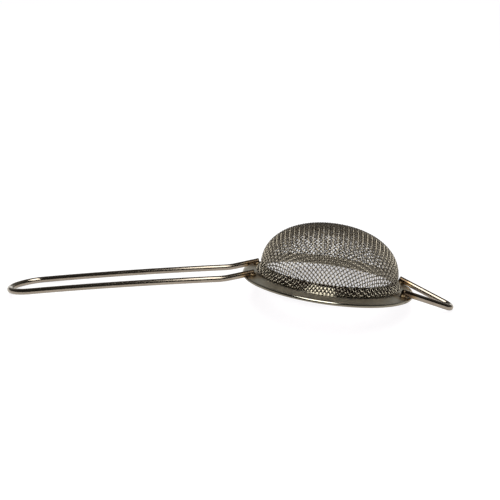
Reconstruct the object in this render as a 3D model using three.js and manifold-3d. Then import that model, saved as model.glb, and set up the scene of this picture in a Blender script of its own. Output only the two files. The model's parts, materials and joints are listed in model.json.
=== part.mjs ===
// A small stainless-steel tea strainer: a gauze bowl on a pressed rim, with a long handle and a short rest ear,
// each bent from one wire and welded to the rim. Millimetres, +Z up.
//
// The pieces are drawn in the rim's own frame: the bend into the lip lies round the origin in the XY plane, the bowl
// rises along +Z, the ear points along +X and the handle along -X. The finished strainer is then laid down bowl
// up, on the end of its handle, the tip of its ear and one side of its rim, as it lies on a table.
import * as THREE from 'three';
import { mergeVertices } from 'three/addons/utils/BufferGeometryUtils.js';
import Module from 'manifold-3d';

const wasm = await Module();
wasm.setup();

// Rim: one sheet, its edge turned down outside, sloping up to a bend, and turned up into a collar inside.
const rimRadius = 37.5;
const sheet = 0.5; // thickness of the sheet
const lipBend = 0.6; // outside radius of the bend from the flange into the lip
const lipDepth = 0.7; // from the middle of that bend down to the cut edge
const flangeSlope = 0.16; // rise of the flange for each millimetre inwards
const collarHeight = 5.2; // top of the collar above the rim's plane
const bendRadius = 0.4; // between the flange and the collar, on the bowl's side

// Bowl of woven gauze, as a wall as thick as the weave.
const gauzeWall = 0.55;
const bowlRadius = 30.0; // outside, level with the top of the collar
const skirtRadius = 32.1; // outside, where the gauze ends on the flange
const skirtHollow = 1.4; // power of the curve between those two: 1 is a cone
const bowlTop = 25.2; // outside, above the rim's plane
const bowlFullness = 2.17; // power of the bowl's curve: 2 is an ellipse, more is fuller

// Handle: two legs and a round turn, seen from above a long U.
const wireRadius = 1.35;
const handleHalfWidth = 11.7; // from the middle of a leg to the handle's centre line
const handleLegSlope = 0.37; // rise of the welded ends towards the bowl
const handleSunk = 1.1; // how far the legs are flattened underneath, where they cross the edge
const handleBendX = -44.4;
const handleBendLength = 5; // stretch over which the wire bends
const handleTurnX = -129.0; // where the round turn starts
const handleSlope = 0.19; // fall of the wire past the bend
const handleEndSlope = 0.234; // and at the turn

// Ear: two legs that close in on a small round tip.
const earTipX = 54.2; // middle of the wire at the tip
const earTipRadius = 4.0;
const earSpread = 24.2; // angle of a leg to the ear's centre line, degrees
const earSlope = 0.284; // fall of the ear away from the rim
const earSunk = 0.25; // how far its legs are flattened underneath, where they cross the edge

// Weld round each of the four wire ends.
const weldReach = 1.0; // past the end of the wire
const weldLength = 3.4;
const weldWidth = 3.8;
const weldHeight = 2.4;

const gap = 0.2; // between pieces that touch
const turns = 60; // sides of the turned pieces
const wireSides = 12;

// ---------------------------------------------------------------- shapes shared by the pieces

// The gauze ends and the wires lie on the flange, whose upper face has this height at a radius.
const lipMiddle = rimRadius - lipBend;
const flangeTop = (radius) => lipBend * Math.hypot(1, flangeSlope) + flangeSlope * (lipMiddle - radius);
const flangeAngle = 90 - THREE.MathUtils.radToDeg(Math.atan(flangeSlope)); // where it runs into the bend

// The skirt leans in, so a wall in it is wider across, along the radius, than it is thick.
const lean = Math.atan((skirtRadius - bowlRadius) / (collarHeight - flangeTop(skirtRadius)));
const across = (thickness) => thickness / Math.cos(lean);

const collarFoot = skirtRadius - across(gauzeWall) - gap; // outside of the collar, on the flange
const skirtBottom = flangeTop(collarFoot) + gap + bendRadius / 3;

// Outside radius of the gauze skirt at a height between the flange and the top of the collar.
function skirtAt(height) {
  const down = (collarHeight - height) / (collarHeight - skirtBottom);
  return bowlRadius + (skirtRadius - bowlRadius) * Math.max(down, 0) ** skirtHollow;
}

// Points down the skirt, at a distance in from its outside, from one height to another.
function skirtLine(inset, from, to, steps) {
  const points = [];
  for (let i = 0; i <= steps; i++) {
    const height = from + ((to - from) * i) / steps;
    points.push(new THREE.Vector2(skirtAt(height) - inset, height));
  }
  return points;
}

// Points up the bowl from the top of the collar to its highest point, at a distance in from its outside.
function bowlLine(inset, steps) {
  const points = [];
  for (let i = 0; i <= steps; i++) {
    const angle = (Math.PI / 2) * (i / steps);
    const out = Math.cos(angle) ** (2 / bowlFullness);
    const up = Math.sin(angle) ** (2 / bowlFullness);
    const height = collarHeight + (bowlTop - inset - collarHeight) * up;
    points.push(new THREE.Vector2(i === steps ? 0 : (bowlRadius - inset) * out, height));
  }
  return points;
}

function arc(centreX, centreY, radius, from, to, steps) {
  const points = [];
  for (let i = 0; i <= steps; i++) {
    const angle = THREE.MathUtils.degToRad(from + ((to - from) * i) / steps);
    points.push(new THREE.Vector2(centreX + radius * Math.cos(angle), centreY + radius * Math.sin(angle)));
  }
  return points;
}

// An outline of radius and height, anticlockwise, turned round Z.
function turned(outline) {
  return new THREE.LatheGeometry(outline, turns).rotateX(Math.PI / 2);
}

// A bent wire: its line seen from above, and its height at each place along X.
class BentWire extends THREE.Curve {
  constructor(plan, height) {
    super();
    this.plan = plan;
    this.height = height;
  }

  getPoint(t, target = new THREE.Vector3()) {
    const { x, y } = this.plan.getPoint(t);
    return target.set(x, y, this.height(x));
  }
}

function roundWire(path, radius, steps) {
  const section = new THREE.Shape(arc(0, 0, radius, 0, 360, wireSides).slice(0, -1));
  return new THREE.ExtrudeGeometry(section, { extrudePath: path, steps, bevelEnabled: false });
}

// How far a line runs from a point outside a circle round the origin until it meets the circle.
function runTo(radius, point, direction) {
  const along = point.dot(direction);
  return -along - Math.sqrt(along ** 2 - point.lengthSq() + radius ** 2);
}

// Height of a wire's middle where it crosses the edge at this slope, flattened so far underneath.
const overEdge = (slope, sunk) => lipBend + gap + wireRadius * Math.hypot(1, slope) - sunk;
const wireEnd = skirtRadius + gap + weldReach; // the wires end on the flange at this radius

// ---------------------------------------------------------------- rim

function rimOutline() {
  const under = sheet * Math.hypot(1, flangeSlope);
  const wall = across(sheet);
  const innerFoot = collarFoot - wall;
  const outer = skirtLine(across(gauzeWall) + gap, flangeTop(collarFoot) + bendRadius, collarHeight, 4);
  const inner = skirtLine(across(gauzeWall) + gap + wall, collarHeight, flangeTop(innerFoot) + bendRadius, 4);
  const outerBend = new THREE.QuadraticBezierCurve(
    new THREE.Vector2(collarFoot + bendRadius, flangeTop(collarFoot + bendRadius)),
    new THREE.Vector2(collarFoot, flangeTop(collarFoot)),
    outer[0],
  );
  const innerBend = new THREE.QuadraticBezierCurve(
    inner.at(-1),
    new THREE.Vector2(innerFoot, flangeTop(innerFoot) - under),
    new THREE.Vector2(innerFoot + 2 * bendRadius, flangeTop(innerFoot + 2 * bendRadius) - under),
  );
  return [
    ...inner.slice(0, -1),
    ...innerBend.getPoints(3),
    ...arc(lipMiddle, 0, lipBend - sheet, flangeAngle, 0, 3),
    new THREE.Vector2(rimRadius - sheet, -lipDepth),
    new THREE.Vector2(rimRadius, -lipDepth),
    ...arc(lipMiddle, 0, lipBend, 0, flangeAngle, 5),
    ...outerBend.getPoints(3),
    ...outer.slice(1),
    inner[0],
  ];
}

// ---------------------------------------------------------------- gauze

function gauzeOutline() {
  return [
    ...bowlLine(gauzeWall, 12).reverse(),
    ...skirtLine(across(gauzeWall), collarHeight, skirtBottom, 4).slice(1),
    ...skirtLine(0, skirtBottom, collarHeight, 4),
    ...bowlLine(0, 12).slice(1),
  ];
}

// ---------------------------------------------------------------- handle

function handleHeight(x) {
  const edgeX = -Math.sqrt(lipMiddle ** 2 - handleHalfWidth ** 2);
  const leg = (at) => overEdge(handleLegSlope, handleSunk) + handleLegSlope * (at - edgeX);
  const past = handleBendX - x;
  const into = past + handleBendLength / 2;
  if (into <= 0) return leg(x);
  if (into < handleBendLength) {
    return leg(x) + ((handleLegSlope - handleSlope) * into ** 2) / (2 * handleBendLength);
  }
  const run = handleBendX - handleTurnX;
  const bow = (handleEndSlope - handleSlope) / (2 * run);
  const straight = Math.max(past - run, 0);
  const bowed = past - straight;
  return leg(handleBendX) - handleSlope * bowed - bow * bowed ** 2 - handleEndSlope * straight;
}

function handlePath() {
  const inside = new THREE.Vector2(handleTurnX, handleHalfWidth - wireRadius);
  const endX = handleTurnX + runTo(wireEnd, inside, new THREE.Vector2(1, 0));
  const plan = new THREE.Path();
  plan.moveTo(endX, handleHalfWidth);
  plan.lineTo(handleTurnX, handleHalfWidth);
  plan.absarc(handleTurnX, 0, handleHalfWidth, Math.PI / 2, (3 * Math.PI) / 2);
  plan.lineTo(endX, -handleHalfWidth);
  return new BentWire(plan, handleHeight);
}

// ---------------------------------------------------------------- ear

const spread = THREE.MathUtils.degToRad(earSpread);

function earPlan() {
  const centreX = earTipX - earTipRadius;
  const alongLeg = new THREE.Vector2(-Math.cos(spread), Math.sin(spread));
  const acrossLeg = new THREE.Vector2(Math.sin(spread), Math.cos(spread));
  const tangent = new THREE.Vector2(centreX, 0).addScaledVector(acrossLeg, earTipRadius);
  const inside = tangent.clone().addScaledVector(acrossLeg, -wireRadius);
  const end = tangent.clone().addScaledVector(alongLeg, runTo(wireEnd, inside, alongLeg));
  const plan = new THREE.Path();
  plan.moveTo(end.x, end.y);
  plan.lineTo(tangent.x, tangent.y);
  plan.absarc(centreX, 0, earTipRadius, Math.PI / 2 - spread, spread - Math.PI / 2, true);
  plan.lineTo(end.x, -end.y);
  return { plan, end, alongLeg, tangent };
}

function earPath() {
  const { plan, alongLeg, tangent } = earPlan();
  const edgeX = tangent.clone().addScaledVector(alongLeg, runTo(lipMiddle, tangent, alongLeg)).x;
  return new BentWire(plan, (x) => overEdge(earSlope, earSunk) - earSlope * (x - edgeX));
}

// ---------------------------------------------------------------- welds

function solid(geometry) {
  const bare = geometry.clone();
  bare.deleteAttribute('normal');
  bare.deleteAttribute('uv');
  const merged = mergeVertices(bare, 1e-4);
  return new wasm.Manifold(new wasm.Mesh({
    numProp: 3,
    vertProperties: new Float32Array(merged.attributes.position.array),
    triVerts: new Uint32Array(merged.index.array),
  }));
}

function fromSolid(body) {
  const mesh = body.getMesh();
  const geometry = new THREE.BufferGeometry();
  geometry.setAttribute('position', new THREE.BufferAttribute(new Float32Array(mesh.vertProperties), 3));
  geometry.setIndex(new THREE.BufferAttribute(new Uint32Array(mesh.triVerts), 1));
  geometry.computeVertexNormals();
  return geometry;
}

// A bead of metal round a wire end, cut to clear the wire and the flange. The end and the way the wire runs away
// from it are given as seen from above.
function weld(end, away, wireSolid, rimSolid) {
  const centre = end.clone().addScaledVector(away, weldLength / 2 - weldReach);
  const pool = new THREE.SphereGeometry(0.5, 14, 8);
  pool.scale(weldLength, weldWidth, weldHeight);
  pool.rotateZ(Math.atan2(away.y, away.x));
  pool.translate(centre.x, centre.y, flangeTop(centre.length()) + gap);
  const beyondEnd = wireSolid.translate([-gap * away.x, -gap * away.y, 0]);
  return fromSolid(solid(pool).subtract(rimSolid).subtract(wireSolid).subtract(beyondEnd));
}

// Everything up to the gap above the flange and outside the lip.
function rimClearance() {
  const inside = collarFoot;
  const below = -2 * lipDepth;
  const outline = [
    new THREE.Vector2(inside, below),
    new THREE.Vector2(rimRadius + gap, below),
    ...arc(lipMiddle, 0, lipBend + gap, 0, flangeAngle, 6),
    new THREE.Vector2(inside, flangeTop(inside) + gap * Math.hypot(1, flangeSlope)),
    new THREE.Vector2(inside, below),
  ];
  return solid(turned(outline));
}

// ---------------------------------------------------------------- assembly

const steel = (color, roughness) => new THREE.MeshStandardMaterial({ color, roughness, metalness: 1 });
const pressedSteel = steel(0x8f8a82, 0.45);
const gauzeSteel = steel(0x7d776d, 0.5);
const wireSteel = steel(0xb8b1a5, 0.22);
const weldSteel = steel(0x6e5636, 0.5);

function part(name, geometry, material) {
  const mesh = new THREE.Mesh(geometry, material);
  mesh.name = name;
  return mesh;
}

const handle = handlePath();
const ear = earPath();
const handleSteps = 84;
const earSteps = 40;

const rimMesh = part('rim_ring', turned(rimOutline()), pressedSteel);
const gauzeMesh = part('gauze_bowl', turned(gauzeOutline()), gauzeSteel);
const rimSolid = rimClearance();
const flattened = (path, steps) => fromSolid(solid(roundWire(path, wireRadius, steps)).subtract(rimSolid));
const handleMesh = part('handle_wire', flattened(handle, handleSteps), wireSteel);
const earMesh = part('rest_ear_wire', flattened(ear, earSteps), wireSteel);

const clearWire = (path, steps) => solid(roundWire(path, wireRadius + gap, steps));
const handleEnd = handle.getPoint(0);
const { end: earEnd, alongLeg: earLeg } = earPlan();
const welds = [1, -1].flatMap((side) => {
  const hand = side > 0 ? 'left' : 'right';
  const handlePoint = new THREE.Vector2(handleEnd.x, side * handleHalfWidth);
  const earPoint = new THREE.Vector2(earEnd.x, side * earEnd.y);
  const handleAway = new THREE.Vector2(-1, 0);
  const earAway = new THREE.Vector2(-earLeg.x, -side * earLeg.y);
  return [
    part(`handle_weld_${hand}`, weld(handlePoint, handleAway, clearWire(handle, handleSteps), rimSolid), weldSteel),
    part(`rest_ear_weld_${hand}`, weld(earPoint, earAway, clearWire(ear, earSteps), rimSolid), weldSteel),
  ];
});

const strainer = new THREE.Group();
strainer.add(rimMesh, gauzeMesh, handleMesh, earMesh, ...welds);

// ---------------------------------------------------------------- lying on the table

const pointsOf = (mesh) => {
  const { position } = mesh.geometry.attributes;
  return Array.from({ length: position.count }, (_, i) => new THREE.Vector3().fromBufferAttribute(position, i));
};
const lowest = (points, up) => points.reduce((low, point) => (point.dot(up) < low.dot(up) ? point : low));

// The table's upward direction in the rim's frame: it touches the handle, the ear and the rim's left side.
function tableUp() {
  const touching = [handleMesh, earMesh, rimMesh].map(pointsOf);
  const up = new THREE.Vector3(0, -0.2, 1);
  for (let i = 0; i < 12; i++) {
    const [onHandle, onEar, onRim] = touching.map((points) => lowest(points, up));
    up.crossVectors(onRim.clone().sub(onEar), onHandle.clone().sub(onEar)).normalize();
  }
  return up;
}

const up = tableUp();
const left = up.clone().cross(new THREE.Vector3(1, 0, 0)).normalize();
const ahead = left.clone().cross(up);
strainer.quaternion.setFromRotationMatrix(new THREE.Matrix4().makeBasis(ahead, left, up).transpose());

// The origin is on the table, under the middle of the whole strainer.
const box = new THREE.Box3().setFromObject(strainer, true);
const middle = box.getCenter(new THREE.Vector3());
strainer.position.set(-middle.x, -middle.y, -box.min.z);

const teaStrainer = new THREE.Group();
teaStrainer.add(strainer);

export default teaStrainer;
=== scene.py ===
"""A stainless-steel tea strainer lying bowl up on a pale table.

The pieces are drawn in the rim's own frame, in millimetres: the bend into the lip lies round the origin in
the XY plane, the bowl rises along +Z, the ear points along +X and the handle along -X. Then each mesh is laid
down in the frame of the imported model, whose mount in the rim's middle says where that is.
"""

import bisect
import json
import math

import bmesh
import bpy
from mathutils import Matrix, Quaternion, Vector, noise

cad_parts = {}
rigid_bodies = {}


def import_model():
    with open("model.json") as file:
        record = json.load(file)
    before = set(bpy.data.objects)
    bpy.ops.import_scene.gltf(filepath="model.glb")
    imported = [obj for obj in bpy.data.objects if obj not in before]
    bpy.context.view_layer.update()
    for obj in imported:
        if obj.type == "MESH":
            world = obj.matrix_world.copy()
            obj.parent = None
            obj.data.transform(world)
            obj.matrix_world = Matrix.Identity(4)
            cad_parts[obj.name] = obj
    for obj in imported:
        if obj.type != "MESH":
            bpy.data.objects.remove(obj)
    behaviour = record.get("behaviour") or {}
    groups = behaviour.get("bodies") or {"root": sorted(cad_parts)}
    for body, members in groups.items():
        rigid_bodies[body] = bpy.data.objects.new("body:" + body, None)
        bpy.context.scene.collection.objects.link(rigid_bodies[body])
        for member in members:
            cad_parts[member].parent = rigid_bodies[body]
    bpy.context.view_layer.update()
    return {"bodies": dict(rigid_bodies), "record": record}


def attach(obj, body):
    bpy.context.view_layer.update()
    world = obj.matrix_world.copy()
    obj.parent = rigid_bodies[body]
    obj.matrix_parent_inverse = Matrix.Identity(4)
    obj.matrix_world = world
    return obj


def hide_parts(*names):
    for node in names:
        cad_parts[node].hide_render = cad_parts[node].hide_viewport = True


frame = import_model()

METRES = 0.001  # metres in a millimetre
MERGE_DISTANCE = 1e-4  # vertices nearer than this are one, millimetres

# Rim: one sheet, its edge turned down outside, sloping up to a bend, and turned up into a collar inside.
RIM_RADIUS = 37.5
SHEET = 0.5
LIP_BEND = 0.6  # outside radius of the bend from the flange into the lip
LIP_DEPTH = 0.7  # from the middle of that bend down to the cut edge
FLANGE_SLOPE = 0.16
COLLAR_HEIGHT = 5.2
BEND_RADIUS = 0.4

# Bowl of woven gauze: the sizes of the wall that the weave fills, and the weave.
GAUZE_WALL = 0.55
BOWL_RADIUS = 30.0
SKIRT_RADIUS = 32.1
SKIRT_HOLLOW = 1.4
BOWL_TOP = 25.2
BOWL_FULLNESS = 2.17
MESH_WIRE = 0.46  # thickness of a gauze wire
WARP_PITCH = 1.5  # from wire to wire in the flat gauze
WEFT_PITCH = 1.54
WEAVE_TURN = 45.3  # angle from the ear's direction to the one across the warp wires, degrees

# Handle and ear, each bent from one wire.
WIRE_RADIUS = 1.35
HANDLE_HALF_WIDTH = 11.7
HANDLE_LEG_SLOPE = 0.37
HANDLE_SUNK = 1.1  # how far the legs are flattened underneath, where they cross the edge
HANDLE_BEND_X = -44.4
HANDLE_BEND_LENGTH = 5
HANDLE_TURN_X = -129.0
HANDLE_SLOPE = 0.19
HANDLE_END_SLOPE = 0.234
EAR_TIP_X = 54.2
EAR_TIP_RADIUS = 4.0
EAR_SPREAD = math.radians(24.2)
EAR_SLOPE = 0.284
EAR_SUNK = 0.25

# Weld round each of the four wire ends.
WELD_REACH = 1.0  # past the end of the wire
WELD_LENGTH = 3.4
WELD_WIDTH = 3.8
WELD_HEIGHT = 2.4

GAP = 0.2  # between pieces that touch

# How finely the wires are drawn: the thick one of the handle and the ear, and the gauze's.
WIRE_STEP = 0.4  # from one ring of vertices to the next along a straight leg
WIRE_RESOLUTION = 10  # of the section, as a curve's bevel counts it
MESH_WIRE_RESOLUTION = 1
HANDLE_TURN_STEPS = 64
EAR_TURN_STEPS = 40
WIRE_END_EASE = 0.55  # width of the bevel on a cut end


# ---------------------------------------------------------------- camera

CAMERA_SENSOR = 36  # width, millimetres
CAMERA_LENS = 71.35  # focal length, millimetres
CAMERA_PLACE = (0.0596, -0.3867, 0.2097)
CAMERA_AIM = Vector((0.0103, 0.0, 0.02434))
CAMERA_ROLL = math.radians(-0.64)


def add_camera():
    camera = bpy.data.objects.new("camera", bpy.data.cameras.new("camera"))
    camera.data.sensor_width = CAMERA_SENSOR
    camera.data.lens = CAMERA_LENS
    camera.location = CAMERA_PLACE
    look = (CAMERA_AIM - camera.location).to_track_quat("-Z", "Y")
    camera.rotation_mode = "QUATERNION"
    camera.rotation_quaternion = look @ Quaternion((0, 0, 1), CAMERA_ROLL)
    bpy.context.scene.collection.objects.link(camera)
    bpy.context.scene.camera = camera


# ---------------------------------------------------------------- where the rim's frame is

def rim_to_table():
    """Matrix from the rim's frame, in millimetres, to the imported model's frame, in metres."""
    seat = next(m for m in frame["record"]["mounts"] if m["name"] == "cup_seat")
    up = Vector(seat["axis"]).normalized()
    ahead = Vector((up.z, 0, -up.x)).normalized()
    left = up.cross(ahead)
    turned = Matrix((ahead, left, up)).transposed().to_4x4()
    return Matrix.Translation(seat["pos_m"]) @ turned @ Matrix.Scale(METRES, 4)


BODY = next(iter(frame["bodies"]))  # the strainer has only one
LAID_DOWN = rim_to_table()
RIM_MIDDLE = LAID_DOWN @ Vector((0, 0, 0))
RIM_UP = (LAID_DOWN.to_3x3() @ Vector((0, 0, 1))).normalized()


def add_piece(name, shape, finish, stands_for):
    """A bmesh in the rim's frame becomes a smooth piece that rides with the strainer."""
    bmesh.ops.remove_doubles(shape, verts=shape.verts, dist=MERGE_DISTANCE)
    bmesh.ops.recalc_face_normals(shape, faces=shape.faces)
    shape.transform(LAID_DOWN)
    mesh = bpy.data.meshes.new(name)
    shape.to_mesh(mesh)
    shape.free()
    mesh.shade_smooth()
    mesh.materials.append(finish)
    piece = bpy.data.objects.new(name, mesh)
    bpy.context.scene.collection.objects.link(piece)
    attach(piece, BODY)
    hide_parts(*stands_for)
    return piece


# ---------------------------------------------------------------- lines shared by the pieces

LIP_MIDDLE = RIM_RADIUS - LIP_BEND
FLANGE_ANGLE = 90 - math.degrees(math.atan(FLANGE_SLOPE))  # where the flange runs into the bend


def flange_top(radius):
    """Height of the flange's upper face at a radius."""
    return LIP_BEND * math.hypot(1, FLANGE_SLOPE) + FLANGE_SLOPE * (LIP_MIDDLE - radius)


LEAN = math.atan((SKIRT_RADIUS - BOWL_RADIUS) / (COLLAR_HEIGHT - flange_top(SKIRT_RADIUS)))


def across(thickness):
    """Width along the radius of a wall of this thickness in the leaning skirt."""
    return thickness / math.cos(LEAN)


COLLAR_FOOT = SKIRT_RADIUS - across(GAUZE_WALL) - GAP
SKIRT_BOTTOM = flange_top(COLLAR_FOOT) + GAP + BEND_RADIUS / 3


def skirt_at(height):
    """Outside radius of the gauze skirt at a height between the flange and the top of the collar."""
    down = max((COLLAR_HEIGHT - height) / (COLLAR_HEIGHT - SKIRT_BOTTOM), 0)
    return BOWL_RADIUS + (SKIRT_RADIUS - BOWL_RADIUS) * down ** SKIRT_HOLLOW


def skirt_line(inset, start, end, steps):
    """Points along the skirt from one height to another, at a distance in from its outside."""
    heights = [start + (end - start) * i / steps for i in range(steps + 1)]
    return [Vector((skirt_at(height) - inset, 0, height)) for height in heights]


def bowl_line(inset, steps):
    """Points down the bowl from its highest point to the collar's top, at a distance in from its outside."""
    points = []
    for i in range(steps + 1):
        angle = math.pi / 2 * (1 - i / steps)
        out = max(math.cos(angle), 0) ** (2 / BOWL_FULLNESS) if i else 0
        up = math.sin(angle) ** (2 / BOWL_FULLNESS)
        height = COLLAR_HEIGHT + (BOWL_TOP - inset - COLLAR_HEIGHT) * up
        points.append(Vector(((BOWL_RADIUS - inset) * out, 0, height)))
    return points


def arc(centre, radius, start, end, steps):
    """Points round a centre in the plane of X and Z, with angles in degrees."""
    angles = [math.radians(start + (end - start) * i / steps) for i in range(steps + 1)]
    return [centre + Vector((radius * math.cos(a), 0, radius * math.sin(a))) for a in angles]


def rounded(corner, before, after, steps):
    """Points round a corner, from the point before it to the point after it."""
    shares = [i / steps for i in range(steps + 1)]
    return [before.lerp(corner, t).lerp(corner.lerp(after, t), t) for t in shares]


# ---------------------------------------------------------------- rim

RIM_STEPS = 360  # sides of the turned sheet


def on_flange(radius):
    """Point of the section on the flange's upper face."""
    return Vector((radius, 0, flange_top(radius)))


def under_flange(radius):
    """Point of the section on the flange's lower face."""
    return Vector((radius, 0, flange_top(radius) - SHEET * math.hypot(1, FLANGE_SLOPE)))


def rim_section():
    """The bent sheet cut through: the collar, the bend, the flange and the lip, in one loop."""
    wall = across(SHEET)
    inset = across(GAUZE_WALL) + GAP
    foot_inside = COLLAR_FOOT - wall
    outer = skirt_line(inset, flange_top(COLLAR_FOOT) + BEND_RADIUS, COLLAR_HEIGHT, 8)
    inner = skirt_line(inset + wall, COLLAR_HEIGHT, flange_top(foot_inside) + BEND_RADIUS, 8)
    middle = Vector((LIP_MIDDLE, 0, 0))
    points = inner[:-1]
    points += rounded(
        under_flange(foot_inside), inner[-1], under_flange(foot_inside + 2 * BEND_RADIUS), 6)
    worn = SHEET / 6  # radius of the cut edge's corners
    points += arc(middle, LIP_BEND - SHEET, FLANGE_ANGLE, 0, 5)
    points += arc(Vector((RIM_RADIUS - SHEET + worn, 0, worn - LIP_DEPTH)), worn, 180, 270, 4)
    points += arc(Vector((RIM_RADIUS - worn, 0, worn - LIP_DEPTH)), worn, 270, 360, 4)
    points += arc(middle, LIP_BEND, 0, FLANGE_ANGLE, 16)
    points += rounded(
        on_flange(COLLAR_FOOT), on_flange(COLLAR_FOOT + BEND_RADIUS), outer[0], 6)
    points += outer[1:-1]
    points += arc((outer[-1] + inner[0]) / 2, wall / 2, 0, 180, 8)[:-1]
    return points


def spun(section, steps):
    """A closed section turned all the way round Z."""
    shape = bmesh.new()
    corners = [shape.verts.new(point) for point in section]
    sides = [shape.edges.new(pair) for pair in zip(corners, corners[1:] + corners[:1])]
    bmesh.ops.spin(
        shape, geom=corners + sides, cent=(0, 0, 0), axis=(0, 0, 1), dvec=(0, 0, 0),
        angle=math.tau, steps=steps, use_merge=True)
    return shape


def make_rim(finish):
    add_piece("rim", spun(rim_section(), RIM_STEPS), finish, ["rim_ring"])


# ---------------------------------------------------------------- wires

def swept(routes, radius, resolution):
    """Round wires along lists of points, with closed ends, as one bmesh."""
    curve = bpy.data.curves.new("wire", "CURVE")
    curve.dimensions = "3D"
    curve.bevel_depth = radius
    curve.bevel_resolution = resolution
    curve.use_fill_caps = True
    for route in routes:
        spline = curve.splines.new("POLY")
        spline.points.add(len(route) - 1)
        for point, place in zip(spline.points, route):
            point.co = (*place, 1)
    drawn = bpy.data.objects.new("wire", curve)
    bpy.context.scene.collection.objects.link(drawn)
    bpy.context.view_layer.update()
    mesh = bpy.data.meshes.new_from_object(drawn.evaluated_get(bpy.context.evaluated_depsgraph_get()))
    shape = bmesh.new()
    shape.from_mesh(mesh)
    bpy.data.objects.remove(drawn)
    bpy.data.curves.remove(curve)
    bpy.data.meshes.remove(mesh)
    bmesh.ops.remove_doubles(shape, verts=shape.verts, dist=MERGE_DISTANCE)
    return shape


def ease_ends(shape, ease):
    """Takes the sharp edge off the cut ends of a wire."""
    caps = [face for face in shape.faces if len(face.verts) > 4]
    rims = list({edge for cap in caps for edge in cap.edges})
    bmesh.ops.bevel(
        shape, geom=rims, offset=ease, offset_type="OFFSET", segments=3, profile=0.5,
        affect="EDGES", material=-1, clamp_overlap=True)


def run_to(radius, point, direction):
    """How far a line in the plan runs from a point outside a circle round the origin to the circle."""
    along = point.dot(direction)
    return -along - math.sqrt(along ** 2 - point.length_squared + radius ** 2)


def over_edge(slope, sunk):
    """Height of a wire's middle where it crosses the edge at this slope, flattened so far underneath."""
    return LIP_BEND + GAP + WIRE_RADIUS * math.hypot(1, slope) - sunk


WIRE_END = SKIRT_RADIUS + GAP + WELD_REACH  # the wires end on the flange at this radius


def flatten_on_rim(shape):
    """Presses the underside of a wire flat where it lies on the flange and the bend."""
    for vertex in shape.verts:
        radius = vertex.co.xy.length
        past = radius - LIP_MIDDLE
        if past <= math.cos(math.radians(FLANGE_ANGLE)) * (LIP_BEND + GAP):
            seat = flange_top(radius) + GAP * math.hypot(1, FLANGE_SLOPE)
        elif past < LIP_BEND + GAP:
            seat = math.sqrt((LIP_BEND + GAP) ** 2 - past ** 2)
        else:
            continue
        vertex.co.z = max(vertex.co.z, seat)


def bent_wire(route):
    """The thick wire of the handle and the ear along a route, with eased ends, lying on the rim."""
    shape = swept([route], WIRE_RADIUS, WIRE_RESOLUTION)
    ease_ends(shape, WIRE_END_EASE)
    flatten_on_rim(shape)
    return shape


MIRRORED = Vector((1, -1))  # times a place in the plan, the same place on the other leg


def stepped(start, end, step):
    """Points in the plan from the start up to the end, without the end."""
    count = max(1, math.ceil((end - start).length / step))
    return [start.lerp(end, i / count) for i in range(count)]


def turn_round(centre, radius, start, end, steps):
    """Points in the plan round a centre, with angles in radians."""
    angles = [start + (end - start) * i / steps for i in range(steps + 1)]
    return [centre + Vector((math.cos(a), math.sin(a))) * radius for a in angles]


# ---------------------------------------------------------------- handle

def handle_height(x):
    """Height of the middle of the handle's wire: its legs, the bend, then the long fall to the turn."""
    edge_x = -math.sqrt(LIP_MIDDLE ** 2 - HANDLE_HALF_WIDTH ** 2)

    def leg(at):
        return over_edge(HANDLE_LEG_SLOPE, HANDLE_SUNK) + HANDLE_LEG_SLOPE * (at - edge_x)

    past = HANDLE_BEND_X - x
    into = past + HANDLE_BEND_LENGTH / 2
    if into <= 0:
        return leg(x)
    if into < HANDLE_BEND_LENGTH:
        return leg(x) + (HANDLE_LEG_SLOPE - HANDLE_SLOPE) * into ** 2 / (2 * HANDLE_BEND_LENGTH)
    run = HANDLE_BEND_X - HANDLE_TURN_X
    bow = (HANDLE_END_SLOPE - HANDLE_SLOPE) / (2 * run)
    straight = max(past - run, 0)
    bowed = past - straight
    return leg(HANDLE_BEND_X) - HANDLE_SLOPE * bowed - bow * bowed ** 2 - HANDLE_END_SLOPE * straight


def handle_end():
    """Middle of the cut end of the handle's left leg, in the plan."""
    inside = Vector((HANDLE_TURN_X, HANDLE_HALF_WIDTH - WIRE_RADIUS))
    end_x = HANDLE_TURN_X + run_to(WIRE_END, inside, Vector((1, 0)))
    return Vector((end_x, HANDLE_HALF_WIDTH))


def handle_route():
    end = handle_end()
    turn_start = Vector((HANDLE_TURN_X, HANDLE_HALF_WIDTH))
    plan = stepped(end, turn_start, WIRE_STEP)
    centre = Vector((HANDLE_TURN_X, 0))
    plan += turn_round(centre, HANDLE_HALF_WIDTH, math.pi / 2, 3 * math.pi / 2, HANDLE_TURN_STEPS)
    plan += stepped(turn_start * MIRRORED, end * MIRRORED, WIRE_STEP)[1:] + [end * MIRRORED]
    return [Vector((at.x, at.y, handle_height(at.x))) for at in plan]


def make_handle(finish):
    add_piece("handle", bent_wire(handle_route()), finish, ["handle_wire"])


# ---------------------------------------------------------------- ear

EAR_LEG = Vector((-math.cos(EAR_SPREAD), math.sin(EAR_SPREAD)))
EAR_ACROSS = Vector((math.sin(EAR_SPREAD), math.cos(EAR_SPREAD)))
EAR_CENTRE = Vector((EAR_TIP_X - EAR_TIP_RADIUS, 0))
EAR_TANGENT = EAR_CENTRE + EAR_ACROSS * EAR_TIP_RADIUS


def ear_end():
    """Middle of the cut end of the ear's left leg, in the plan."""
    inside = EAR_TANGENT - EAR_ACROSS * WIRE_RADIUS
    return EAR_TANGENT + EAR_LEG * run_to(WIRE_END, inside, EAR_LEG)


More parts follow.
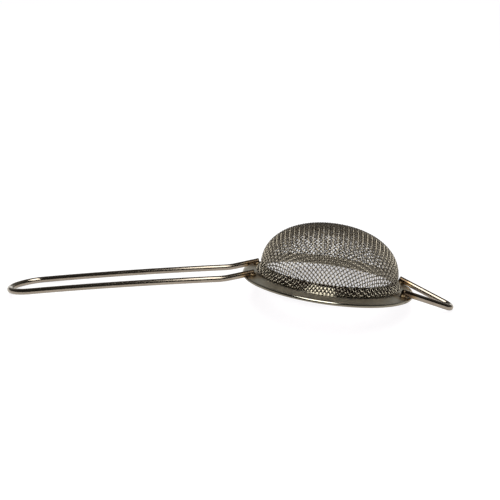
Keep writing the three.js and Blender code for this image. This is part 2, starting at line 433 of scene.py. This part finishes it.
def ear_route():
    end = ear_end()
    edge_x = (EAR_TANGENT + EAR_LEG * run_to(LIP_MIDDLE, EAR_TANGENT, EAR_LEG)).x
    plan = stepped(end, EAR_TANGENT, WIRE_STEP)
    half_turn = math.pi / 2 - EAR_SPREAD
    plan += turn_round(EAR_CENTRE, EAR_TIP_RADIUS, half_turn, -half_turn, EAR_TURN_STEPS)
    plan += stepped(EAR_TANGENT * MIRRORED, end * MIRRORED, WIRE_STEP)[1:] + [end * MIRRORED]
    height = over_edge(EAR_SLOPE, EAR_SUNK)
    return [Vector((at.x, at.y, height - EAR_SLOPE * (at.x - edge_x))) for at in plan]


def make_ear(finish):
    add_piece("rest_ear", bent_wire(ear_route()), finish, ["rest_ear_wire"])


# ---------------------------------------------------------------- gauze

BOWL_STEPS = 200
SKIRT_STEPS = 40
POINTS_PER_CROSSING = 6  # on a wire, from one that it crosses to the next


class GauzeSection:
    """The middle of the gauze wall from the bowl's highest point down to the flange, by distance along it."""

    def __init__(self):
        half = GAUZE_WALL / 2
        bowl = bowl_line(half, BOWL_STEPS)
        skirt = skirt_line(across(half), COLLAR_HEIGHT, SKIRT_BOTTOM + half, SKIRT_STEPS)
        self.points = bowl[:-1] + skirt
        self.along = [0.0]
        for before, after in zip(self.points, self.points[1:]):
            self.along.append(self.along[-1] + (after - before).length)
        self.length = self.along[-1]

    def at(self, distance):
        """Place on the section and the direction out of the wall there."""
        i = min(max(bisect.bisect_right(self.along, distance), 1), len(self.along) - 1)
        before, after = self.points[i - 1], self.points[i]
        share = (distance - self.along[i - 1]) / (self.along[i] - self.along[i - 1])
        run = (after - before).normalized()
        return before.lerp(after, share), Vector((-run.z, 0, run.x))


def weave(section, first, second, pitch, crossed_pitch, parity):
    """Wires that run along the direction called second, a pitch apart along the one called first.

    Each goes over and under the wires that it crosses. Its parity is 0 where theirs is 1, so that they go
    under where it goes over.
    """
    routes = []
    count = int(section.length / pitch)
    for i in range(-count, count + 1):
        offset = (i + 0.5) * pitch
        if abs(offset) >= section.length - MESH_WIRE:
            continue
        half_run = math.sqrt(section.length ** 2 - offset ** 2)
        steps = max(4, round(2 * half_run / crossed_pitch * POINTS_PER_CROSSING))
        route = []
        for j in range(steps + 1):
            along = -half_run + 2 * half_run * j / steps
            flat = first * offset + second * along
            place, out = section.at(min(flat.length, section.length))
            angle = math.atan2(flat.y, flat.x)
            side = math.cos(math.pi * (along / crossed_pitch + 0.5 + i + parity))
            place = place + out * (side * MESH_WIRE / 2)
            route.append(Matrix.Rotation(angle, 3, "Z") @ place)
        routes.append(route)
    return routes


def make_gauze(finish):
    section = GauzeSection()
    turn = math.radians(WEAVE_TURN)
    across_warp = Vector((math.cos(turn), math.sin(turn)))
    across_weft = Vector((-math.sin(turn), math.cos(turn)))
    warp = weave(section, across_warp, across_weft, WARP_PITCH, WEFT_PITCH, 0)
    weft = weave(section, across_weft, across_warp, WEFT_PITCH, WARP_PITCH, 1)
    for name, routes in (("warp_wires", warp), ("weft_wires", weft)):
        add_piece(name, swept(routes, MESH_WIRE / 2, MESH_WIRE_RESOLUTION), finish, ["gauze_bowl"])


# ---------------------------------------------------------------- welds

WELD_DENTS = 0.22  # depth of a full dent, as a share of the bead's radius
WELD_DENT_SCALE = 3.1  # how close together the dents are


def weld_places():
    """Each weld's name, the wire's end and the way the wire runs from it, seen from above."""
    places = []
    for side, hand in ((1, "left"), (-1, "right")):
        mirrored = Vector((1, side))
        places.append((f"handle_weld_{hand}", handle_end() * mirrored, Vector((-1, 0))))
        places.append((f"rest_ear_weld_{hand}", ear_end() * mirrored, -EAR_LEG * mirrored))
    return places


def make_welds(finish):
    for node, end, away in weld_places():
        centre = end + away * (WELD_LENGTH / 2 - WELD_REACH)
        shape = bmesh.new()
        bmesh.ops.create_icosphere(shape, subdivisions=4, radius=0.5)
        for vertex in shape.verts:
            dent = noise.noise(vertex.co * WELD_DENT_SCALE + Vector((*end, 0)))
            vertex.co *= 1 - WELD_DENTS * max(dent, 0)
        bmesh.ops.scale(shape, verts=shape.verts, vec=(WELD_LENGTH, WELD_WIDTH, WELD_HEIGHT))
        turn = Matrix.Rotation(math.atan2(away.y, away.x), 3, "Z")
        bmesh.ops.rotate(shape, verts=shape.verts, matrix=turn)
        place = (centre.x, centre.y, flange_top(centre.length) + GAP)
        bmesh.ops.translate(shape, verts=shape.verts, vec=place)
        add_piece(node.replace("weld", "weld_bead"), shape, finish, [node])


# ---------------------------------------------------------------- steels

USUAL_NOISE = (0.3, 0.7)  # most of what a noise texture gives lies between these
WHITE = (1, 1, 1)


class Nodes:
    """Short ways to add and join the nodes of one material, metal unless changed. Lengths are in metres."""

    def __init__(self, name):
        self.material = bpy.data.materials.new(name)
        self.material.use_nodes = True
        self.tree = self.material.node_tree
        self.shader = self.tree.nodes["Principled BSDF"]
        self.shader.inputs["Metallic"].default_value = 1
        self.place = self.tree.nodes.new("ShaderNodeTexCoord").outputs["Object"]

    def add(self, kind, inputs=(), **settings):
        node = self.tree.nodes.new(kind)
        for key, value in settings.items():
            setattr(node, key, value)
        for socket, value in dict(inputs).items():
            if isinstance(value, bpy.types.NodeSocket):
                self.tree.links.new(value, node.inputs[socket])
            else:
                node.inputs[socket].default_value = value
        return node

    def math(self, operation, *values):
        return self.add("ShaderNodeMath", enumerate(values), operation=operation).outputs[0]

    def vector(self, operation, *values):
        """The node itself, whose first output is a vector and whose output Value is a number."""
        return self.add("ShaderNodeVectorMath", enumerate(values), operation=operation)

    def noise(self, scale, detail=3.0, roughness=0.5, place=None):
        inputs = {"Vector": place or self.place, "Scale": scale, "Detail": detail, "Roughness": roughness}
        return self.add("ShaderNodeTexNoise", inputs).outputs["Fac"]

    def spread(self, value, low, high, at_low, at_high):
        """Turns the range from low to high into the one from at_low to at_high, and goes no further."""
        inputs = {0: value, 1: low, 2: high, 3: at_low, 4: at_high}
        return self.add("ShaderNodeMapRange", inputs).outputs[0]

    def vary(self, cloud, at_low, at_high):
        """Turns a noise's usual values into a range of other ones."""
        return self.spread(cloud, *USUAL_NOISE, at_low, at_high)

    def ramp(self, value, stops):
        node = self.add("ShaderNodeValToRGB", {"Fac": value})
        elements = node.color_ramp.elements
        while len(elements) < len(stops):
            elements.new(0.5)
        for element, (position, colour) in zip(elements, stops):
            element.position = position
            element.color = (*colour, 1)
        return node.outputs["Color"]

    def mix(self, share, first, second, blend="MIX"):
        node = self.add("ShaderNodeMix", data_type="RGBA", blend_type=blend)
        for socket, value in ((node.inputs[0], share), (node.inputs[6], first), (node.inputs[7], second)):
            if isinstance(value, bpy.types.NodeSocket):
                self.tree.links.new(value, socket)
            else:
                socket.default_value = (*value, 1) if isinstance(value, tuple) else value
        return node.outputs[2]

    def link(self, value, socket):
        self.tree.links.new(value, self.shader.inputs[socket])

    def bump(self, height, strength, distance):
        inputs = {"Height": height, "Strength": strength, "Distance": distance}
        self.link(self.add("ShaderNodeBump", inputs).outputs[0], "Normal")

    def nearest(self, points):
        """Distance to the nearest of some points, in metres."""
        found = None
        for point in points:
            value = self.vector("DISTANCE", self.place, point).outputs["Value"]
            found = value if found is None else self.math("MINIMUM", found, value)
        return found

    def from_axis(self):
        """Distance from the line through the rim's middle."""
        centred = self.vector("SUBTRACT", self.place, RIM_MIDDLE).outputs[0]
        crossed = self.vector("CROSS_PRODUCT", centred, RIM_UP).outputs[0]
        return self.vector("LENGTH", crossed).outputs["Value"]


def heat_points():
    """Where the welds are, a wire's radius above the flange."""
    ends = [end for _, end, _ in weld_places()]
    return [LAID_DOWN @ Vector((end.x, end.y, flange_top(end.length) + WIRE_RADIUS)) for end in ends]


def pressed_steel():
    """Drawn steel with fine rings, satin on the flange and polished elsewhere, browned round the welds; the
    collar and the lip's outer face are darkened by painted shade.
    """
    steel = Nodes("pressed_steel")
    radius = steel.from_axis()
    rings = steel.add("ShaderNodeCombineXYZ", {0: radius}).outputs[0]
    drawn = steel.noise(9000, 4, 0.6, rings)
    cloud = steel.noise(90, 4)

    foot = COLLAR_FOOT * METRES
    bend = LIP_MIDDLE * METRES
    side = RIM_RADIUS * METRES
    outside_collar = steel.spread(radius, foot, foot + 0.0005, 0, 1)
    off_lip_side = steel.spread(radius, side - 0.00015, side - 0.00003, 1, 0)
    before_bend = steel.spread(radius, bend - 0.0003, bend + 0.0002, 1, 0)

    tint = steel.mix(steel.vary(cloud, 0, 1), (0.48, 0.44, 0.38), (0.56, 0.515, 0.45))
    heat = steel.spread(steel.nearest(heat_points()), 0.002, 0.008, 0, 1)
    stain = steel.ramp(heat, [(0.0, (0.40, 0.33, 0.26)), (0.35, (0.8, 0.68, 0.52)), (0.8, WHITE)])
    # painted shade: the steel inside the collar and on the lip's outer face is darkened to 0.38 of its colour
    clear_of_painted_shade = steel.math("MINIMUM", outside_collar, off_lip_side)
    painted_shade = steel.mix(clear_of_painted_shade, (0.38, 0.365, 0.34), WHITE)
    stained = steel.mix(1.0, tint, stain, "MULTIPLY")
    steel.link(steel.mix(1.0, stained, painted_shade, "MULTIPLY"), "Base Color")

    flat = steel.math("MINIMUM", outside_collar, before_bend)
    finish = steel.spread(flat, 0, 1, 0.11, 0.38)
    rubbed = steel.math("ADD", steel.spread(drawn, 0.2, 0.8, -0.04, 0.04), steel.vary(cloud, -0.03, 0.03))
    steel.link(steel.math("ADD", finish, rubbed), "Roughness")
    steel.bump(drawn, 0.08, 0.0001)
    return steel.material


def wire_steel():
    """Bright drawn wire, with the brown and straw colours of heat at the welds."""
    steel = Nodes("wire_steel")
    cloud = steel.noise(160, 4)
    fine = steel.noise(2500, 3)
    heat = steel.nearest(heat_points())
    uneven_heat = steel.math("ADD", heat, steel.vary(cloud, -0.0012, 0.0012))
    stain = steel.ramp(steel.spread(uneven_heat, 0.001, 0.009, 0, 1), [
        (0.0, (0.30, 0.25, 0.20)),
        (0.3, (0.36, 0.29, 0.22)),
        (0.5, (0.76, 0.60, 0.40)),
        (0.66, (1.0, 0.90, 0.72)),
        (0.9, WHITE),
    ])
    tint = steel.mix(steel.vary(cloud, 0, 1), (0.26, 0.215, 0.18), (0.31, 0.26, 0.22))
    steel.link(steel.mix(1.0, tint, stain, "MULTIPLY"), "Base Color")
    polish = steel.vary(fine, 0.12, 0.15)
    burnt = steel.spread(heat, 0.001, 0.008, 0.15, 0)
    steel.link(steel.math("ADD", polish, burnt), "Roughness")
    steel.bump(fine, 0.02, 0.00005)
    return steel.material


def gauze_steel():
    """Fine wire with a little brown in it."""
    steel = Nodes("gauze_steel")
    cloud = steel.noise(120, 3)
    fine = steel.noise(1800, 3)
    tint = steel.mix(steel.vary(cloud, 0, 1), (0.28, 0.245, 0.208), (0.36, 0.318, 0.272))
    brown = steel.spread(fine, 0.35, 0.75, 0, 0.5)
    steel.link(steel.mix(brown, tint, (0.13, 0.10, 0.07)), "Base Color")
    steel.link(steel.vary(fine, 0.13, 0.23), "Roughness")
    return steel.material


def weld_steel():
    """Burnt metal, from nearly black to bare."""
    steel = Nodes("weld_steel")
    cloud = steel.noise(900, 4, 0.65)
    tint = steel.ramp(cloud, [
        (0.3, (0.04, 0.032, 0.028)),
        (0.5, (0.13, 0.09, 0.055)),
        (0.62, (0.26, 0.19, 0.115)),
        (0.75, (0.36, 0.33, 0.28)),
    ])
    steel.link(tint, "Base Color")
    steel.link(steel.vary(cloud, 0.28, 0.5), "Roughness")
    steel.bump(cloud, 0.5, 0.0003)
    return steel.material


# ---------------------------------------------------------------- table and light

TABLE_SIZE = 4
PAINTED_SHADOW_MIDDLE = (0.042, 0.040, 0)  # middle of a painted shadow on the table, the part that is seen through the gauze
PAINTED_SHADOW_SCALE = (1 / 0.033, 1 / 0.046, 1)  # one over that painted shadow's reach, along X and Y
GLOW_UNSEEN = 0.2  # how strongly the table glows for all but the camera
GLOW_IN_PAINTED_SHADOW = 0.57  # and for the camera, in the painted shadow behind the bowl
GLOW_ELSEWHERE = 0.93


def table_paint():
    """Paint that glows pale for the camera, with a painted shadow a little greyer where the gauze is in front
    of it; for other rays it glows faintly and so lights the strainer.
    """
    paint = Nodes("pale_table")
    paint.shader.inputs["Metallic"].default_value = 0
    paint.shader.inputs["Roughness"].default_value = 0.9
    paint.shader.inputs["Specular IOR Level"].default_value = 0.0
    paint.shader.inputs["Emission Color"].default_value = (1, 0.985, 1, 1)
    seen = paint.add("ShaderNodeLightPath").outputs["Is Camera Ray"]
    paint.link(paint.mix(seen, (0.86, 0.855, 0.85), (0.20, 0.20, 0.205)), "Base Color")
    behind = paint.vector("SUBTRACT", paint.place, PAINTED_SHADOW_MIDDLE).outputs[0]
    squashed = paint.vector("MULTIPLY", behind, PAINTED_SHADOW_SCALE).outputs[0]
    away = paint.vector("LENGTH", squashed).outputs["Value"]
    # painted shadow: the camera sees the table glow less inside the ellipse behind the bowl
    glow = paint.spread(away, 0.55, 1.05, GLOW_IN_PAINTED_SHADOW, GLOW_ELSEWHERE)
    extra = paint.math("MULTIPLY", seen, paint.math("SUBTRACT", glow, GLOW_UNSEEN))
    paint.link(paint.math("ADD", GLOW_UNSEEN, extra), "Emission Strength")
    return paint.material


def add_table():
    shape = bmesh.new()
    bmesh.ops.create_grid(shape, x_segments=1, y_segments=1, size=TABLE_SIZE)
    mesh = bpy.data.meshes.new("table")
    shape.to_mesh(mesh)
    shape.free()
    table = bpy.data.objects.new("table", mesh)
    bpy.context.scene.collection.objects.link(table)
    mesh.materials.append(table_paint())


def add_light(name, size, place, aim, power, colour, mirrored):
    """A rectangular light. Only a mirrored one shows in the steel."""
    data = bpy.data.lights.new(name, "AREA")
    data.shape = "RECTANGLE"
    data.size, data.size_y = size
    data.energy = power
    data.color = colour
    light = bpy.data.objects.new(name, data)
    light.location = place
    light.rotation_euler = (Vector(aim) - Vector(place)).to_track_quat("-Z", "Y").to_euler()
    light.visible_glossy = mirrored
    bpy.context.scene.collection.objects.link(light)


ROOM_FRONT = 0.03  # strength of the room's light from the front and the sides
ROOM_BACK = 0.22  # and from straight behind the strainer
BACK_STARTS = 0.0  # how far along +Y a direction points where the light starts to rise
BACK_FULL = 0.9  # and where it is strongest
WALL_COLOUR = (0.95, 0.95, 0.95, 1)  # what the camera sees past the table


def add_room():
    """A dim room, brighter at the back, with a pale wall for the camera alone."""
    world = bpy.data.worlds.new("room")
    world.use_nodes = True
    tree = world.node_tree
    room = tree.nodes["Background"]
    room.inputs["Color"].default_value = (1.0, 1.0, 0.92, 1)
    direction = tree.nodes.new("ShaderNodeTexCoord").outputs["Generated"]
    axes = tree.nodes.new("ShaderNodeSeparateXYZ")
    tree.links.new(direction, axes.inputs[0])
    backwards = tree.nodes.new("ShaderNodeMapRange")
    for socket, value in zip(backwards.inputs[1:5], (BACK_STARTS, BACK_FULL, ROOM_FRONT, ROOM_BACK)):
        socket.default_value = value
    tree.links.new(axes.outputs["Y"], backwards.inputs[0])
    tree.links.new(backwards.outputs[0], room.inputs["Strength"])
    wall = tree.nodes.new("ShaderNodeBackground")
    wall.inputs["Color"].default_value = WALL_COLOUR
    rays = tree.nodes.new("ShaderNodeLightPath")
    mixed = tree.nodes.new("ShaderNodeMixShader")
    tree.links.new(rays.outputs["Is Camera Ray"], mixed.inputs[0])
    tree.links.new(room.outputs[0], mixed.inputs[1])
    tree.links.new(wall.outputs[0], mixed.inputs[2])
    tree.links.new(mixed.outputs[0], tree.nodes["World Output"].inputs["Surface"])
    bpy.context.scene.world = world


def add_studio():
    add_light("softbox", (0.40, 0.60), (0.02, -0.22, 0.62), (0.02, -0.15, 0), 4.6, (0.97, 1.0, 0.93), True)
    add_light("ceiling", (3.0, 3.0), (0, 0, 2.2), (0, 0, 0), 15.0, WHITE, False)
    add_room()
    bpy.context.scene.view_settings.view_transform = "Standard"


# ---------------------------------------------------------------- the strainer

add_camera()
wire_finish = wire_steel()
make_rim(pressed_steel())
make_gauze(gauze_steel())
make_handle(wire_finish)
make_ear(wire_finish)
make_welds(weld_steel())
add_table()
add_studio()
